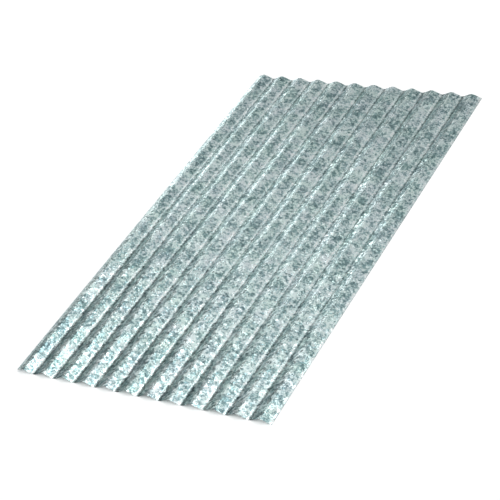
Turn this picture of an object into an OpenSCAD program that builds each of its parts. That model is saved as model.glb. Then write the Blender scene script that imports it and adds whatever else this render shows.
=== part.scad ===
// Corrugated galvanised steel sheet: one piece, rolled to an arc-and-tangent wave.
// Lengths are in millimetres. The waves run along Y and the sheet lies flat, with
// the undersides of its valleys on Z = 0 and the middle of its overall box on the Z axis.

/* [Sheet] */
// Length of the sheet, along the waves
sheet_length = 1500; // [300:10:3600]
// Thickness of the steel with its zinc coating
sheet_thickness = 0.55; // [0.3:0.05:1.6]

/* [Wave] */
// Distance from one crest to the next
pitch = 67.7; // [56:0.1:110]
// Overall depth, from the underside of a valley to the top of a crest
wave_depth = 12.7; // [6:0.1:22]
// Radius inside the bend of each crest and valley
inside_radius = 17.5; // [4:0.5:26]
// Number of crests
crest_count = 12; // [2:1:18]

/* [Side edges] */
// Distance from the first crest out to the cut edge on the left
left_lip = 20.5; // [4:0.1:60]
// Distance from the last crest out to the cut edge on the right
right_lip = 32.8; // [4:0.1:60]

/* [Hidden] */

zinc_grey = [0.60, 0.68, 0.67];
bend_steps = 7; // flats that stand for half of one bend, on the sheet's faces
min_step = 0.01; // stations closer than this to a cut edge are left out

half_pitch = pitch / 2;
half_thickness = sheet_thickness / 2;
rise = wave_depth - sheet_thickness; // depth of the wave at mid thickness

// Radius at mid thickness. It can't be larger than bends that meet with no straight flank.
full_bend_radius = (half_pitch * half_pitch + rise * rise) / (4 * rise);
bend_radius = min(inside_radius + half_thickness, full_bend_radius);

// Slope of the straight flanks, from half_pitch * sin(a) + (2r - rise) * cos(a) = 2r.
drop = 2 * bend_radius - rise;
flank_angle = atan2(half_pitch, drop) - acos(min(1, 2 * bend_radius / norm([half_pitch, drop])));
bend_reach = bend_radius * sin(flank_angle); // width of half a bend

last_crest = (crest_count - 1) * pitch;
left_edge = -left_lip;
right_edge = last_crest + right_lip;

// Distance from x to the nearest crest, and which side of that crest it is on.
// The first crest is at x = 0.
function nearest_crest(x) = round(x / pitch) * pitch;
function crest_distance(x) = abs(x - nearest_crest(x));
function crest_side(x) = sign(x - nearest_crest(x));

// Slope of the wave at distance d from a crest, in degrees down from level.
function slope(d) =
    d < bend_reach ? asin(d / bend_radius) :
    d > half_pitch - bend_reach ? asin((half_pitch - d) / bend_radius) :
    flank_angle;

// Height of the mid-thickness line above the bottom of the valleys' own line.
function height(d) =
    d < bend_reach ? rise - bend_radius * (1 - cos(slope(d))) :
    d > half_pitch - bend_reach ? bend_radius * (1 - cos(slope(d))) :
    rise - bend_radius * (1 - cos(flank_angle)) - (d - bend_reach) * tan(flank_angle);

// Point of the sheet at x, moved square to the sheet by offset (up is positive).
function skin_point(x, offset) =
    let (d = crest_distance(x), a = slope(d) * crest_side(x))
    [x + offset * sin(a), half_thickness + height(d) + offset * cos(a)];

// Distances from a crest that the outline needs between that crest and the next valley.
half_wave = concat(
    [for (i = [0 : bend_steps]) bend_radius * sin(i * flank_angle / bend_steps)],
    [for (i = [bend_steps : -1 : 1]) half_pitch - bend_radius * sin(i * flank_angle / bend_steps)]
);
whole_wave = concat(
    [-half_pitch],
    [for (i = [len(half_wave) - 1 : -1 : 1]) -half_wave[i]],
    half_wave
);

// Every place across the sheet where the outline has a point, from edge to edge.
stations = concat(
    [left_edge],
    [for (crest = [-1 : crest_count]) for (d = whole_wave)
        let (x = crest * pitch + d)
        if (x > left_edge + min_step && x < right_edge - min_step) x],
    [right_edge]
);

top_line = [for (x = stations) skin_point(x, half_thickness)];
under_line = [for (i = [len(stations) - 1 : -1 : 0]) skin_point(stations[i], -half_thickness)];

outline_x = [for (p = concat(top_line, under_line)) p[0]];
centre_x = (min(outline_x) + max(outline_x)) / 2;

// The sheet's cross-section, with its side edges cut square to the sheet.
module wave_section() {
    polygon(concat(top_line, under_line));
}

module corrugated_sheet() {
    color(zinc_grey)
    translate([-centre_x, 0, 0])
    rotate([90, 0, 0])
    linear_extrude(height = sheet_length, center = true)
    wave_section();
}

corrugated_sheet();
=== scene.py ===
import math

import bpy
import numpy as np
from mathutils import Matrix, Vector


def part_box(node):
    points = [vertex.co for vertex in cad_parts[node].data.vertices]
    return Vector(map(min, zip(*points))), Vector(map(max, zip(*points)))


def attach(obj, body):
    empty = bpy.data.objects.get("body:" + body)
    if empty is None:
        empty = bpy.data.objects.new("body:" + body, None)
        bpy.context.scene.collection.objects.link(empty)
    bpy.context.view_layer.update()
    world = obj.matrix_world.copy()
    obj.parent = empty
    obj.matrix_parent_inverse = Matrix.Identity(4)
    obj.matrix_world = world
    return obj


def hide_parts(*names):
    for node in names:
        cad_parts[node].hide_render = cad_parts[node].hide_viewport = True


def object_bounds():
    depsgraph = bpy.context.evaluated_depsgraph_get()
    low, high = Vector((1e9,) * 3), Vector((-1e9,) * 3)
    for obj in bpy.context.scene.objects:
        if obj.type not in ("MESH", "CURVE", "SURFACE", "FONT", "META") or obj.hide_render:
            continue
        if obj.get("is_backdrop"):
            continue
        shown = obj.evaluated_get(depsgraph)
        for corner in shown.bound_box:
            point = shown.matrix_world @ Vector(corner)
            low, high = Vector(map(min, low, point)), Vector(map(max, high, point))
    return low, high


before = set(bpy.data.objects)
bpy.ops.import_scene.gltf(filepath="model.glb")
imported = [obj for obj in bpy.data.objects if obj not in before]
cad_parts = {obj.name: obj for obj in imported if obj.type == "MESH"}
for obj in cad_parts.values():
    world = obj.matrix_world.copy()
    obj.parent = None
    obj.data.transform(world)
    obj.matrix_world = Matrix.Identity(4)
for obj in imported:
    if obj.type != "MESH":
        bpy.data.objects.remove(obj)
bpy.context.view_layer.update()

cadLow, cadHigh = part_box("corrugated_sheet")
mm = 0.001


def hexToLinear(code):
    channels = [int(code[i:i + 2], 16) / 255 for i in (1, 3, 5)]
    return tuple(c / 12.92 if c <= 0.04045 else ((c + 0.055) / 1.055) ** 2.4 for c in channels)


def addNode(tree, kind, settings=None, links=None):
    # settings are the node's own options and its unwired inputs, links wires other nodes' outputs in
    node = tree.nodes.new(kind)
    for name, value in (settings or {}).items():
        if isinstance(name, str) and hasattr(node, name):
            setattr(node, name, value)
        else:
            node.inputs[name].default_value = value
    for name, socket in (links or {}).items():
        tree.links.new(socket, node.inputs[name])
    return node


def setStops(ramp, stops):
    # stops are (position, hex colour) pairs, from low to high
    elements = ramp.color_ramp.elements
    elements[0].position, elements[1].position = stops[0][0], stops[-1][0]
    for position, _ in stops[1:-1]:
        elements.new(position)
    for element, (_, code) in zip(elements, stops):
        element.color = (*hexToLinear(code), 1)


sheet = {
    "pitch": 67.7 * mm,
    "thickness": 0.55 * mm,
    "insideRadius": 17.5 * mm,
    "crests": 12,
    "leftLip": 20.5 * mm,
    "rightLip": 32.8 * mm,
    "bendSteps": 7,            # facets to half a bend
    "flankSteps": 4,
    "rows": 100,               # along the waves
    "waviness": 0.12 * mm,     # the flats between the bends are never quite flat
    "wavinessLengths": (0.31, 0.17),
    "seed": 4,
    "cutMargin": 0.3 * mm,     # stations closer than this to a cut edge are left out
    "underShift": 2.0,         # how far on the underside's pattern is taken, so that it is its own
    "sharpAngle": 40,          # degrees
}


def waveLine():
    # stations across the sheet: x, height, slope of the mid-thickness line, and distance along the strip
    pitch, thick = sheet["pitch"], sheet["thickness"]
    half = pitch / 2
    rise = (cadHigh.z - cadLow.z) - thick
    radius = sheet["insideRadius"] + thick / 2
    drop = 2 * radius - rise
    flank = math.atan2(half, drop) - math.acos(2 * radius / math.hypot(half, drop))
    reach = radius * math.sin(flank)
    bend = [radius * math.sin(flank * i / sheet["bendSteps"]) for i in range(sheet["bendSteps"] + 1)]
    run = [reach + (half - 2 * reach) * i / sheet["flankSteps"] for i in range(1, sheet["flankSteps"])]
    halfWave = bend + run + [half - d for d in reversed(bend)]
    left = -sheet["leftLip"]
    right = (sheet["crests"] - 1) * pitch + sheet["rightLip"]
    places = set()
    for crest in range(-1, sheet["crests"] + 1):
        for d in halfWave:
            places.add(round(crest * pitch + d, 7))
            places.add(round(crest * pitch - d, 7))
    margin = sheet["cutMargin"]
    xs = np.array([left] + sorted(p for p in places if left + margin < p < right - margin) + [right])
    nearest = np.round(xs / pitch) * pitch
    d = np.abs(xs - nearest)
    onCrest = d < reach
    inValley = d > half - reach
    angle = np.where(onCrest, np.arcsin(np.clip(d / radius, -1, 1)),
                     np.where(inValley, np.arcsin(np.clip((half - d) / radius, -1, 1)), flank))
    height = np.where(onCrest, rise - radius * (1 - np.cos(angle)),
                      np.where(inValley, radius * (1 - np.cos(angle)),
                               rise - radius * (1 - math.cos(flank)) - (d - reach) * math.tan(flank)))
    along = np.concatenate([[0], np.cumsum(np.hypot(np.diff(xs), np.diff(height)))])
    return xs, height + thick / 2, angle * np.sign(xs - nearest), along


def flankWaviness(xs, ys):
    # a slow rise and fall along each flat, dying out at the crests and valleys so that the size holds
    rng = np.random.default_rng(sheet["seed"])
    flats = np.floor(2 * xs / sheet["pitch"]).astype(int)
    starts = rng.uniform(0, math.tau, (flats.max() - flats.min() + 1, 2))[flats - flats.min()]
    first, second = sheet["wavinessLengths"]
    wave = (np.sin(math.tau * ys[:, None] / first + starts[:, 0])
            * np.sin(math.tau * ys[:, None] / second + starts[:, 1]))
    return sheet["waviness"] * wave * np.sin(math.tau * xs / sheet["pitch"]) ** 2


def buildSheet():
    xs, heights, slopes, along = waveLine()
    ys = np.linspace(cadLow.y, cadHigh.y, sheet["rows"] + 1)
    cols, rows = len(xs), len(ys)
    count = cols * rows
    centre = (cadLow.x + cadHigh.x) / 2
    offsets = (sheet["thickness"] / 2, -sheet["thickness"] / 2)
    skinX = [xs + offset * np.sin(slopes) for offset in offsets]
    middle = (max(x.max() for x in skinX) + min(x.min() for x in skinX)) / 2
    waviness = flankWaviness(xs, ys)
    verts, strip, phase = [], [], []
    for face, offset in enumerate(offsets):
        gridX, gridY = np.meshgrid(skinX[face] - middle + centre, ys)
        gridZ = heights + offset * np.cos(slopes) + waviness
        verts.append(np.stack([gridX, gridY, gridZ + cadLow.z], -1).reshape(-1, 3))
        stripX = np.broadcast_to(along + sheet["underShift"] * face, gridX.shape)
        strip.append(np.stack([stripX, gridY - ys[0], np.zeros(gridX.shape)], -1).reshape(-1, 3))
        phase.append(np.broadcast_to(xs / sheet["pitch"], gridX.shape).ravel())
    verts, strip, phase = np.concatenate(verts), np.concatenate(strip), np.concatenate(phase)

    row, col = np.meshgrid(np.arange(rows - 1), np.arange(cols - 1), indexing="ij")
    a = (row * cols + col).ravel()
    top = np.stack([a, a + 1, a + cols + 1, a + cols], 1)
    under = top[:, ::-1] + count
    c = np.arange(cols - 1)
    near = np.stack([c + 1, c, c + count, c + 1 + count], 1)
    far = np.stack([c, c + 1, c + 1 + count, c + count], 1) + (rows - 1) * cols
    r = np.arange(rows - 1) * cols
    left = np.stack([r, r + cols, r + cols + count, r + count], 1)
    e = r + cols - 1
    right = np.stack([e + cols, e, e + count, e + cols + count], 1)
    faces = [top, under, near, far, left, right]
    quads = np.concatenate(faces)
    group = np.repeat(np.arange(len(faces)), [len(f) for f in faces])

    mesh = bpy.data.meshes.new("rolled_sheet")
    mesh.vertices.add(len(verts))
    mesh.vertices.foreach_set("co", verts.ravel())
    mesh.loops.add(quads.size)
    mesh.loops.foreach_set("vertex_index", quads.ravel())
    mesh.polygons.add(len(quads))
    mesh.polygons.foreach_set("loop_start", np.arange(len(quads)) * 4)
    mesh.polygons.foreach_set("loop_total", np.full(len(quads), 4))
    mesh.update(calc_edges=True)
    mesh.polygons.foreach_set("use_smooth", np.ones(len(quads), bool))
    mesh.polygons.foreach_set("material_index", (group >= 2).astype(np.int32))
    stripPlace = mesh.attributes.new("stripPlace", "FLOAT_VECTOR", "POINT")
    stripPlace.data.foreach_set("vector", strip.astype(np.float32).ravel())
    wavePhase = mesh.attributes.new("wavePhase", "FLOAT", "POINT")
    wavePhase.data.foreach_set("value", phase.astype(np.float32))
    layFlat(mesh, quads, group, strip, count, along[-1], ys[-1] - ys[0])
    mesh.set_sharp_from_angle(angle=math.radians(sheet["sharpAngle"]))
    piece = bpy.data.objects.new("rolled_sheet", mesh)
    bpy.context.scene.collection.objects.link(piece)
    print("sheet: %d faces, %d across and %d along on each side" % (len(quads), cols - 1, rows - 1))
    return piece


# shares of the square that the finish is baked on
bakeMap = {
    "margin": 0.005,
    "sideWidth": 0.48,     # the top, and the underside beside it
    "sideStep": 0.49,
    "height": 0.99,
    "edgesFrom": 0.982,    # the four cut edges
    "edgeStep": 0.004,
    "edgeWidth": 0.003,
}


def layFlat(mesh, quads, group, strip, count, width, length):
    # the top and the underside unrolled side by side, and the four cut edges in thin columns
    flat = strip[quads.ravel()].copy()
    isUnder = quads.ravel() >= count
    flat[:, 0] -= sheet["underShift"] * isUnder
    side = np.repeat(group, 4)
    margin, height = bakeMap["margin"], bakeMap["height"]
    u = flat[:, 0] / width * bakeMap["sideWidth"] + margin
    u = np.where(side == 1, u + bakeMap["sideStep"], u)
    v = flat[:, 1] / length * height + margin
    onEnd = (side == 2) | (side == 3)
    v = np.where(onEnd, flat[:, 0] / width * height + margin, v)
    edgeU = bakeMap["edgesFrom"] + (side - 2) * bakeMap["edgeStep"] + bakeMap["edgeWidth"] * isUnder
    u = np.where(side >= 2, edgeU, u)
    layer = mesh.uv_layers.new(name="OFBake")
    layer.data.foreach_set("uv", np.stack([u, v], 1).astype(np.float32).ravel())


zinc = {
    "dark": "#6f8387",         # the dullest crystals
    "middle": "#a9bfc1",
    "light": "#fbfffd",        # the brightest
    "greyPlaces": (0.55, 0.8, 0.98),    # tones at which the three greys stand
    "greenCast": "#e3f3f0",    # slow drifts of tint over the coat
    "blueCast": "#e6eef2",
    "castPlaces": (0.35, 0.65),
    "brightest": (0.97, 0.98, 0.98),    # the coat's colour goes no higher, whatever the bands do
    # sizes of the pattern
    "crystal": 9.0 * mm,
    "arm": 3.4 * mm,           # the branches inside a crystal
    "featherPitch": 2.2 * mm,  # coarser than the lines on a real coat, so that they show
    "featherLength": 9.0 * mm,
    "patch": 60.0 * mm,
    "wander": 4.2 * mm,        # how far and how often a crystal's border wanders
    # how much of the tone comes from each
    "crystalShare": 0.34,
    "armShare": 0.38,
    "featherShare": 0.4,
    "patchShare": 0.5,
    "glintShare": 0.3,
    "glintPower": 5.0,         # higher leaves fewer glints
    # relief and polish
    "crystalTilt": 0.055,      # radians to each side
    "armTilt": 0.045,
    "featherDepth": 0.04 * mm,
    "featherStrength": 0.35,
    "smooth": 0.17,
    "rough": 0.38,
    # Painted highlights and painted shade: brighter and duller bands along each wave. They are a guess, and
    # stand for light and shade that the plain wave doesn't give. Place, half width and fade are in metres,
    # and a level of 1 is plain zinc.
    "bandFade": 2.6 * mm,
    "valleyPaintedHighlight": {"from": "valley", "at": -4.5 * mm, "half": 1.7 * mm, "level": 1.28},
    "valleyPaintedShade": {"from": "valley", "at": 4.5 * mm, "half": 2.2 * mm, "level": 0.6},
    "crestPaintedHighlight": {"from": "crest", "at": -1.5 * mm, "half": 2.5 * mm, "level": 1.12},
    "bandWaver": 0.08,         # share of a pitch by which their borders wander
    # the painted highlights turn towards this near white
    "paintedHighlightColour": "#f2fffc",    # colour that the bright bands turn towards
    "paintedHighlightLevel": 1.25,    # level at which they have turned as far as they will
    "paintedHighlightShare": 0.35,    # and how far that is
}


def zincMaterial():
    # molten zinc frozen on steel: flat crystals, each with its own grey, polish and lean,
    # so that they glint one by one as the sheet is turned
    material = bpy.data.materials.new("hotDipSpangledZinc")
    material.use_nodes = True
    tree = material.node_tree
    shader = tree.nodes["Principled BSDF"]
    shader.inputs["Metallic"].default_value = 1.0
    place = addNode(tree, "ShaderNodeAttribute", {"attribute_name": "stripPlace"}).outputs["Vector"]

    # crystal borders wander, so the place is shaken before it picks a crystal
    wander = addNode(tree, "ShaderNodeTexNoise",
                     {"noise_dimensions": "2D", "Scale": 1 / zinc["wander"], "Detail": 2.0},
                     {"Vector": place})
    wander = addNode(tree, "ShaderNodeVectorMath", {"operation": "SUBTRACT", 1: (0.5, 0.5, 0.5)},
                     {0: wander.outputs["Color"]})
    shaken = addNode(tree, "ShaderNodeVectorMath",
                     {"operation": "MULTIPLY_ADD", 1: (zinc["wander"], zinc["wander"], 0)},
                     {0: wander.outputs[0], 2: place})
    crystal = addNode(tree, "ShaderNodeTexVoronoi",
                      {"voronoi_dimensions": "2D", "Scale": 1 / zinc["crystal"]},
                      {"Vector": shaken.outputs[0]})
    arm = addNode(tree, "ShaderNodeTexVoronoi",
                  {"voronoi_dimensions": "2D", "Scale": 1 / zinc["arm"]},
                  {"Vector": shaken.outputs[0]})
    chance = addNode(tree, "ShaderNodeSeparateColor", {}, {"Color": crystal.outputs["Color"]})
    armChance = addNode(tree, "ShaderNodeSeparateColor", {}, {"Color": arm.outputs["Color"]})

    # feathery lines run one way in each crystal
    turn = addNode(tree, "ShaderNodeMath", {"operation": "MULTIPLY", 1: math.tau},
                   {0: chance.outputs["Blue"]})
    turned = addNode(tree, "ShaderNodeVectorRotate", {"rotation_type": "Z_AXIS"},
                     {"Vector": place, "Center": crystal.outputs["Position"], "Angle": turn.outputs[0]})
    perMetre = (1 / zinc["featherPitch"], 1 / zinc["featherLength"], 0)
    stretched = addNode(tree, "ShaderNodeVectorMath", {"operation": "MULTIPLY", 1: perMetre},
                        {0: turned.outputs[0]})
    feather = addNode(tree, "ShaderNodeTexNoise",
                      {"noise_dimensions": "2D", "Scale": 1.0, "Detail": 3.0},
                      {"Vector": stretched.outputs[0]})
    patch = addNode(tree, "ShaderNodeTexNoise",
                    {"noise_dimensions": "2D", "Scale": 1 / zinc["patch"], "Detail": 3.0},
                    {"Vector": place})

    # one grey for each crystal, broken up by its branches and lines
    tone = addNode(tree, "ShaderNodeMath", {"operation": "MULTIPLY", 1: zinc["crystalShare"]},
                   {0: chance.outputs["Red"]})
    tone = addNode(tree, "ShaderNodeMath", {"operation": "MULTIPLY_ADD", 1: zinc["armShare"]},
                   {0: armChance.outputs["Red"], 2: tone.outputs[0]})
    tone = addNode(tree, "ShaderNodeMath", {"operation": "MULTIPLY_ADD", 1: zinc["featherShare"]},
                   {0: feather.outputs["Fac"], 2: tone.outputs[0]})
    tone = addNode(tree, "ShaderNodeMath", {"operation": "MULTIPLY_ADD", 1: zinc["patchShare"]},
                   {0: patch.outputs["Fac"], 2: tone.outputs[0]})
    glint = addNode(tree, "ShaderNodeMath", {"operation": "POWER", 1: zinc["glintPower"]},
                    {0: armChance.outputs["Green"]})
    tone = addNode(tree, "ShaderNodeMath", {"operation": "MULTIPLY_ADD", 1: zinc["glintShare"]},
                   {0: glint.outputs[0], 2: tone.outputs[0]})
    grey = addNode(tree, "ShaderNodeValToRGB", {}, {0: tone.outputs[0]})
    setStops(grey, tuple(zip(zinc["greyPlaces"], (zinc["dark"], zinc["middle"], zinc["light"]))))
    tint = addNode(tree, "ShaderNodeValToRGB", {}, {0: patch.outputs["Color"]})
    setStops(tint, tuple(zip(zinc["castPlaces"], (zinc["greenCast"], zinc["blueCast"]))))
    colour = addNode(tree, "ShaderNodeMix", {"data_type": "RGBA", "blend_type": "MULTIPLY", 0: 1.0},
                     {6: grey.outputs["Color"], 7: tint.outputs["Color"]})

    # painted highlights and painted shade: brighter bands by each valley and crest, a darker one by each
    # valley
    # bands follow the wave, with the crest a quarter of the way along so that none runs over the ends
    home = {"crest": 0.25, "valley": 0.75}
    waver = addNode(tree, "ShaderNodeMath",
                    {"operation": "MULTIPLY_ADD", 1: zinc["bandWaver"], 2: home["crest"]},
                    {0: wander.outputs[0]})
    phase = addNode(tree, "ShaderNodeAttribute", {"attribute_name": "wavePhase"}).outputs["Fac"]
    phase = addNode(tree, "ShaderNodeMath", {"operation": "ADD"}, {0: phase, 1: waver.outputs[0]})
    phase = addNode(tree, "ShaderNodeMath", {"operation": "FRACT"}, {0: phase.outputs[0]})
    paintedBands = addNode(tree, "ShaderNodeFloatCurve", {}, {"Value": phase.outputs[0]})
    curve = paintedBands.mapping.curves[0]
    most = 2.0    # the curve's heights end at 1, so it holds each level as a share of this
    curve.points[0].location = (0.0, 1 / most)
    curve.points[1].location = (1.0, 1 / most)
    for band in (zinc["crestPaintedHighlight"], zinc["valleyPaintedHighlight"], zinc["valleyPaintedShade"]):
        middle = home[band["from"]] + band["at"] / sheet["pitch"]
        half = band["half"] / sheet["pitch"]
        foot = half + zinc["bandFade"] / sheet["pitch"]
        for at, level in ((-foot, 1.0), (-half, band["level"]), (half, band["level"]), (foot, 1.0)):
            curve.points.new(middle + at, level / most).handle_type = "AUTO_CLAMPED"
    paintedBands.mapping.update()
    gain = addNode(tree, "ShaderNodeMath", {"operation": "MULTIPLY", 1: most}, {0: paintedBands.outputs[0]})
    paintedHighlightMix = addNode(tree, "ShaderNodeMapRange",
                     {"From Min": 1.0, "From Max": zinc["paintedHighlightLevel"], "To Max": zinc["paintedHighlightShare"]},
                     {"Value": gain.outputs[0]})
    # painted highlights and shade: the colour is scaled by the bands' level, and bright bands whiten
    paintedBandColour = addNode(tree, "ShaderNodeVectorMath", {"operation": "SCALE"},
                     {0: colour.outputs[2], "Scale": gain.outputs[0]})
    paintedBandColour = addNode(tree, "ShaderNodeMix",
                     {"data_type": "RGBA", 7: (*hexToLinear(zinc["paintedHighlightColour"]), 1)},
                     {0: paintedHighlightMix.outputs[0], 6: paintedBandColour.outputs[0]})
    paintedBandColour = addNode(tree, "ShaderNodeVectorMath", {"operation": "MINIMUM", 1: zinc["brightest"]},
                     {0: paintedBandColour.outputs[2]})
    tree.links.new(paintedBandColour.outputs[0], shader.inputs["Base Color"])

    roughness = addNode(tree, "ShaderNodeMapRange",
                        {"To Min": zinc["smooth"], "To Max": zinc["rough"]},
                        {"Value": chance.outputs["Green"]})
    tree.links.new(roughness.outputs[0], shader.inputs["Roughness"])

    # each crystal and each branch is its own little mirror, tipped a few degrees
    tilt = addNode(tree, "ShaderNodeVectorMath", {"operation": "SUBTRACT", 1: (0.5, 0.5, 0.5)},
                   {0: crystal.outputs["Color"]})
    armTilt = addNode(tree, "ShaderNodeVectorMath", {"operation": "SUBTRACT", 1: (0.5, 0.5, 0.5)},
                      {0: arm.outputs["Color"]})
    flat = addNode(tree, "ShaderNodeNewGeometry").outputs["Normal"]
    lean = addNode(tree, "ShaderNodeVectorMath",
                   {"operation": "MULTIPLY_ADD", 1: [2 * zinc["crystalTilt"]] * 3},
                   {0: tilt.outputs[0], 2: flat})
    lean = addNode(tree, "ShaderNodeVectorMath",
                   {"operation": "MULTIPLY_ADD", 1: [2 * zinc["armTilt"]] * 3},
                   {0: armTilt.outputs[0], 2: lean.outputs[0]})
    lean = addNode(tree, "ShaderNodeVectorMath", {"operation": "NORMALIZE"}, {0: lean.outputs[0]})
    grain = addNode(tree, "ShaderNodeBump",
                    {"Strength": zinc["featherStrength"], "Distance": zinc["featherDepth"]},
                    {"Height": feather.outputs["Fac"], "Normal": lean.outputs[0]})
    tree.links.new(grain.outputs[0], shader.inputs["Normal"])
    return material


cutEdge = {
    "bright": "#8d8f8d",     # rubbed by the blade
    "dull": "#5f5c58",       # torn bare steel
    "tonePlaces": (0.35, 0.65),
    "line": 1.3 * mm,        # spacing of the tear lines, coarser than real ones so that they show
    "lineDepth": 0.05 * mm,
    "lineStrength": 0.4,
    "smooth": 0.3,
    "rough": 0.55,
}


def cutEdgeMaterial():
    # steel bared by the shear: no spangle, duller and warmer than the zinc, with fine uneven streaks
    material = bpy.data.materials.new("shearedSteel")
    material.use_nodes = True
    tree = material.node_tree
    shader = tree.nodes["Principled BSDF"]
    shader.inputs["Metallic"].default_value = 1.0
    place = addNode(tree, "ShaderNodeAttribute", {"attribute_name": "stripPlace"}).outputs["Vector"]
    streak = addNode(tree, "ShaderNodeTexNoise",
                     {"noise_dimensions": "2D", "Scale": 1 / cutEdge["line"], "Detail": 3.0},
                     {"Vector": place})
    colour = addNode(tree, "ShaderNodeValToRGB", {}, {0: streak.outputs["Fac"]})
    setStops(colour, tuple(zip(cutEdge["tonePlaces"], (cutEdge["dull"], cutEdge["bright"]))))
    tree.links.new(colour.outputs["Color"], shader.inputs["Base Color"])
    roughness = addNode(tree, "ShaderNodeMapRange",
                        {"To Min": cutEdge["rough"], "To Max": cutEdge["smooth"]},
                        {"Value": streak.outputs["Fac"]})
    tree.links.new(roughness.outputs[0], shader.inputs["Roughness"])
    burr = addNode(tree, "ShaderNodeBump",
                   {"Strength": cutEdge["lineStrength"], "Distance": cutEdge["lineDepth"]},
                   {"Height": streak.outputs["Fac"]})
    tree.links.new(burr.outputs[0], shader.inputs["Normal"])
    return material


# found by fitting a camera to the sheet's outline: metres, degrees and millimetres of lens
view = {
    "aim": (0.0091, -0.1145, 0.0),
    "distance": 4.5746,
    "azimuth": 35.97,     # from straight in front, towards the wide lip
    "elevation": 36.28,
    "roll": 14.49,        # about the lens, so that the sheet lies on a slant
    "lens": 113.77,
    "farthest": 100,
}


def addCamera():
    azimuth, elevation = math.radians(view["azimuth"]), math.radians(view["elevation"])
    back = Vector((math.sin(azimuth) * math.cos(elevation), -math.cos(azimuth) * math.cos(elevation),
                   math.sin(elevation)))
    data = bpy.data.cameras.new("camera")
    data.lens = view["lens"]
    data.clip_end = view["farthest"]
    camera = bpy.data.objects.new("camera", data)
    bpy.context.scene.collection.objects.link(camera)
    roll = Matrix.Rotation(math.radians(-view["roll"]), 4, "Z")
    turn = back.to_track_quat("Z", "Y").to_matrix().to_4x4() @ roll
    camera.matrix_world = Matrix.Translation(Vector(view["aim"]) + back * view["distance"]) @ turn
    bpy.context.scene.camera = camera


paper = {
    "half": 12,         # metres from the middle to each side
    "gap": 0.1 * mm,    # below the sheet's underside
    "grey": 0.97,
    "rough": 0.9,
}


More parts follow.
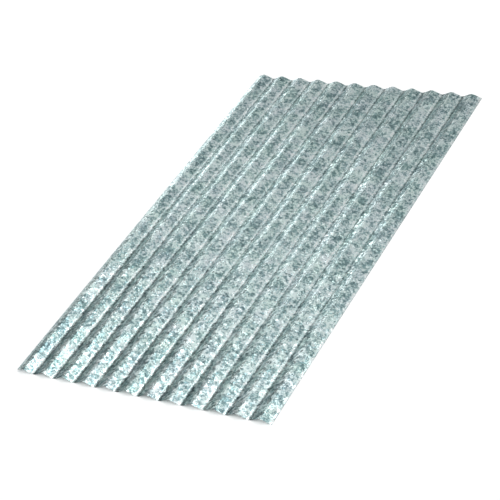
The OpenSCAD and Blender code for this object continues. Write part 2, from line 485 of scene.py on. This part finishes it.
def addFloor():
    mesh = bpy.data.meshes.new("floor")
    half = paper["half"]
    corners = [(-half, -half, 0), (half, -half, 0), (half, half, 0), (-half, half, 0)]
    mesh.from_pydata(corners, [], [(0, 1, 2, 3)])
    floor = bpy.data.objects.new("floor", mesh)
    floor.location.z = cadLow.z - paper["gap"]
    bpy.context.scene.collection.objects.link(floor)
    material = bpy.data.materials.new("palePaper")
    material.use_nodes = True
    shader = material.node_tree.nodes["Principled BSDF"]
    shader.inputs["Base Color"].default_value = (paper["grey"], paper["grey"], paper["grey"], 1)
    shader.inputs["Roughness"].default_value = paper["rough"]
    floor.data.materials.append(material)
    floor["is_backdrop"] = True


# Each softbox faces the sheet. Azimuth is clockwise from straight beyond the sheet's far edge and elevation
# is up, both in degrees. Width and height are in metres. Shoulder, arm, wrist, hand and foot go down a bent
# row, beyond the sheet and to its left. The radiances were fitted, then rounded or changed.
studio = {
    "ambient": 0.3,            # the dim half of the room, beyond the sheet
    "wall": 1.36,              # the white half, behind the camera
    "blend": 0.3,              # where one turns into the other, as a sine to each side
    "ambientColour": "#fdffff",
    "distance": 7.0,
    "softboxes": {
        "overhead": {"azimuth": 13, "elevation": 73, "width": 3.4, "height": 2.8, "radiance": 3.0},
        "shoulder": {"azimuth": -22, "elevation": 55, "width": 1.6, "height": 1.2, "radiance": 0.5},
        "arm": {"azimuth": -33, "elevation": 41, "width": 1.2, "height": 1.6, "radiance": 1.55},
        "wrist": {"azimuth": -21, "elevation": 31, "width": 1.8, "height": 1.4, "radiance": 0.45},
        "rightLow": {"azimuth": 18, "elevation": 22, "width": 2.4, "height": 1.8, "radiance": 0.9},
        "hand": {"azimuth": -46, "elevation": 17, "width": 1.0, "height": 1.6, "radiance": 2.7},
        "foot": {"azimuth": -48, "elevation": 3, "width": 1.4, "height": 0.7, "radiance": 2.7},
        "rightHigh": {"azimuth": 46, "elevation": 55, "width": 2.4, "height": 1.8, "radiance": 1.2},
        "screen": {"azimuth": 14, "elevation": 46, "width": 5.0, "height": 2.2, "radiance": 0.34},
        "leftHigh": {"azimuth": -75, "elevation": 62, "width": 3.0, "height": 2.6, "radiance": 1.3},
        "leftLow": {"azimuth": -85, "elevation": 22, "width": 3.0, "height": 2.6, "radiance": 0.4},
    },
}


def addWorld():
    world = bpy.data.worlds.new("studio")
    bpy.context.scene.world = world
    world.use_nodes = True
    tree = world.node_tree
    background = tree.nodes["Background"]
    background.inputs["Color"].default_value = (*hexToLinear(studio["ambientColour"]), 1)
    direction = addNode(tree, "ShaderNodeTexCoord").outputs["Generated"]
    direction = addNode(tree, "ShaderNodeSeparateXYZ", {}, {0: direction})
    strength = addNode(tree, "ShaderNodeMapRange",
                       {"interpolation_type": "SMOOTHSTEP",
                        "From Min": studio["blend"], "From Max": -studio["blend"],
                        "To Min": studio["ambient"], "To Max": studio["wall"]},
                       {"Value": direction.outputs["Y"]})
    tree.links.new(strength.outputs[0], background.inputs["Strength"])


def addSoftbox(name, values):
    data = bpy.data.lights.new(name, "AREA")
    data.shape = "RECTANGLE"
    data.size, data.size_y = values["width"], values["height"]
    data.energy = values["radiance"] * math.pi * values["width"] * values["height"]
    azimuth, elevation = math.radians(values["azimuth"]), math.radians(values["elevation"])
    towards = Vector((math.sin(azimuth) * math.cos(elevation), math.cos(azimuth) * math.cos(elevation),
                      math.sin(elevation)))
    box = bpy.data.objects.new(name, data)
    bpy.context.scene.collection.objects.link(box)
    turn = towards.to_track_quat("Z", "Y").to_matrix().to_4x4()
    box.matrix_world = Matrix.Translation(towards * studio["distance"]) @ turn
    box.visible_camera = False


bpy.context.scene.view_settings.view_transform = "Standard"

addCamera()
addWorld()
for name, values in studio["softboxes"].items():
    addSoftbox(name, values)
addFloor()
print("studio: camera, floor and %d softboxes" % len(studio["softboxes"]))
rolledSheet = buildSheet()
rolledSheet.data.materials.append(zincMaterial())
rolledSheet.data.materials.append(cutEdgeMaterial())
print("finishes: " + ", ".join(material.name for material in rolledSheet.data.materials))
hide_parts("corrugated_sheet")
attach(rolledSheet, "root")

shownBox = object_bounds()
shownSize = [1000 * (high - low) for low, high in zip(*shownBox)]
print("size: %.2f x %.2f x %.2f mm" % tuple(shownSize))
